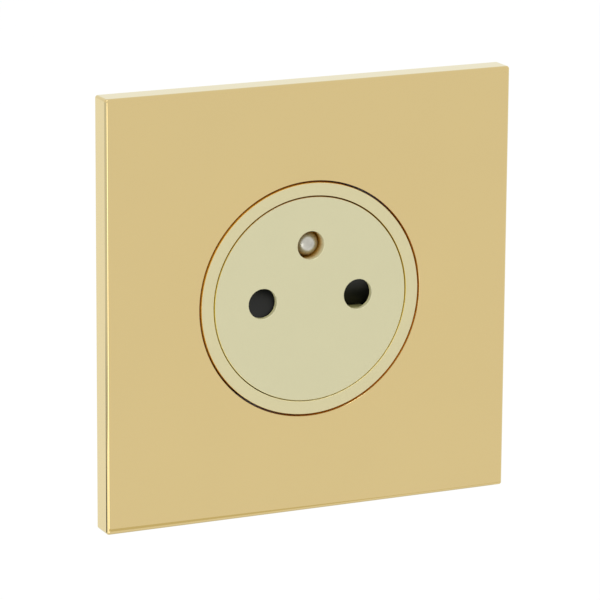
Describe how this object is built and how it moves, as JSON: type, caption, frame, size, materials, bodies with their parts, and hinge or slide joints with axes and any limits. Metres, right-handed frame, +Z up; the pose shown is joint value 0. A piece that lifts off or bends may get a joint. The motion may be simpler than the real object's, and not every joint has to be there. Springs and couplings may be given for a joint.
{
  "type": "wall socket",
  "caption": "Flush wall socket: square polished brass plate round a sprung round face with pin holes, a standing earth pin and a rotary safety shutter, over a screwed contact block.",
  "frame": {"origin": "on the wall plane, at the middle of the plate and of the fixing slots", "axes": "+Y into the wall, +Z up, +X to the right as seen from the room"},
  "size_m": [0.08, 0.0378, 0.08],
  "materials": {
    "polished_brass": "polished",
    "champagne": "satin metallised moulding",
    "black_moulding": "moulded",
    "grey_moulding": "moulded",
    "ivory_moulding": "moulded",
    "zinc_plate": "zinc plated",
    "nickel": "nickel plated",
    "bronze": "rolled strip",
    "plain_brass": "machined",
    "spring_steel": "drawn wire"
  },
  "bodies": {
    "socket": {"cover_plate": "polished_brass", "plate_liner": "black_moulding", "support_frame": "zinc_plate", "trim_ring": "champagne", "well_housing": "grey_moulding", "contact_block": "ivory_moulding", "rear_cover": "grey_moulding", "line_contact": "bronze", "neutral_contact": "bronze", "earth_strap": "plain_brass", "earth_pin": "nickel", "line_terminal": "plain_brass", "neutral_terminal": "plain_brass", "earth_terminal": "plain_brass", "terminal_screws": "zinc_plate", "housing_screws": "zinc_plate", "return_spring": "spring_steel"},
    "face": {"face_disc": "champagne", "shutter_base": "black_moulding", "face_screws": "zinc_plate"},
    "shutter": {"shutter": "black_moulding", "shutter_spring": "spring_steel"}
  },
  "joints": [
    {"name": "face_slide", "type": "slide", "parent": "socket", "child": "face", "axis": [0, 1, 0], "range_m": [0, 0.015], "stiffness_N_per_m": 600, "springref_m": -0.01, "deforming": ["return_spring"]},
    {"name": "shutter_turn", "type": "hinge", "parent": "face", "child": "shutter", "pos_m": [0, -0.002, 0], "axis": [0, -1, 0], "range_deg": [0, 36], "stiffness_Nm_per_rad": 0.005, "springref_deg": -34.38, "deforming": ["shutter_spring"]}
  ]
}
